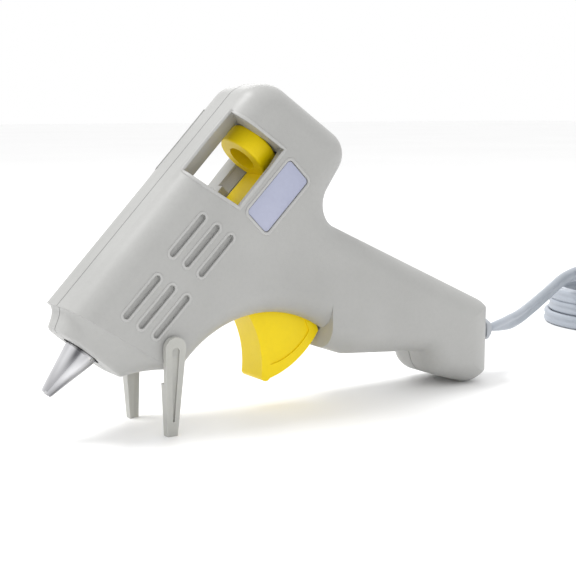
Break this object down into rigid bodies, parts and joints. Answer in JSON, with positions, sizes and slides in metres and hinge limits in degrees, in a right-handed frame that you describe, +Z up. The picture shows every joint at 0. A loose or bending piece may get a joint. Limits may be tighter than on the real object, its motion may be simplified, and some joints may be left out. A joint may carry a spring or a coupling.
{
  "type": "glue gun",
  "caption": "Small corded hot-melt glue gun with a trigger-fed stick, a viewing window and folding front legs, resting nozzle down with its cord coiled.",
  "frame": {"origin": "on the table, under the middle of the gun's length, in the plane of the housing's seam", "axes": "+X from the nozzle to the handle, +Y to the side away from the rating label, +Z up"},
  "size_m": [0.317, 0.1025, 0.0916],
  "materials": {
    "shell_white": "satin moulded plastic",
    "feed_yellow": "semi-gloss moulded plastic",
    "stand_ivory": "slightly translucent moulded plastic",
    "nozzle_chrome": "polished",
    "cast_aluminium": "as cast",
    "steel": "plain",
    "heater_ceramic": "fired ceramic",
    "contact_brass": "plain",
    "film_amber": "clear film",
    "silicone_grey": "matt",
    "label_grey": "matt foil",
    "cord_grey": "soft satin vinyl",
    "tie_black": "matt",
    "lead_white": "satin"
  },
  "bodies": {
    "housing": {"left_housing": "shell_white", "right_housing": "shell_white", "rating_label": "label_grey", "housing_screws": "steel", "nozzle": "nozzle_chrome", "melt_chamber": "cast_aluminium", "ptc_heater": "heater_ceramic", "heater_electrodes": "contact_brass", "heater_insulation": "film_amber", "heater_clip": "steel", "inlet_sleeve": "silicone_grey", "sleeve_clip": "steel", "trigger_pin": "steel", "return_spring": "steel", "strain_relief": "cord_grey", "cord_tail": "cord_grey", "cord_clamp": "shell_white", "cord_clamp_screws": "steel", "lead_wires": "lead_white", "wire_splices": "lead_white", "power_cord": "cord_grey", "cord_coil": "cord_grey", "coil_tie": "tie_black", "plug_lead": "cord_grey", "plug_body": "cord_grey", "plug_blades": "contact_brass"},
    "trigger": {"trigger": "feed_yellow", "link_pin": "steel"},
    "feed_carriage": {"feed_carriage": "feed_yellow"},
    "stand": {"stand_leg_left": "stand_ivory", "stand_leg_right": "stand_ivory", "stand_axle": "steel"}
  },
  "joints": [
    {"name": "trigger_pull", "type": "hinge", "parent": "housing", "child": "trigger", "pos_m": [-0.01499, 0, 0.03302], "axis": [0, -1, 0], "range_deg": [0, 25], "stiffness_Nm_per_rad": 0.13, "springref_deg": -14.32},
    {"name": "stick_feed", "type": "slide", "parent": "housing", "child": "feed_carriage", "axis": [-0.7096, 0, -0.7046], "range_m": [0, 0.00706], "deforming": ["return_spring"]},
    {"name": "stand_fold", "type": "hinge", "parent": "housing", "child": "stand", "pos_m": [-0.04381, 0, 0.02287], "axis": [0, -1, 0], "range_deg": [0, 60]}
  ],
  "couplings": [
    {"joint": "stick_feed", "follows": "trigger_pull", "m_per_rad": 0.016171}
  ]
}
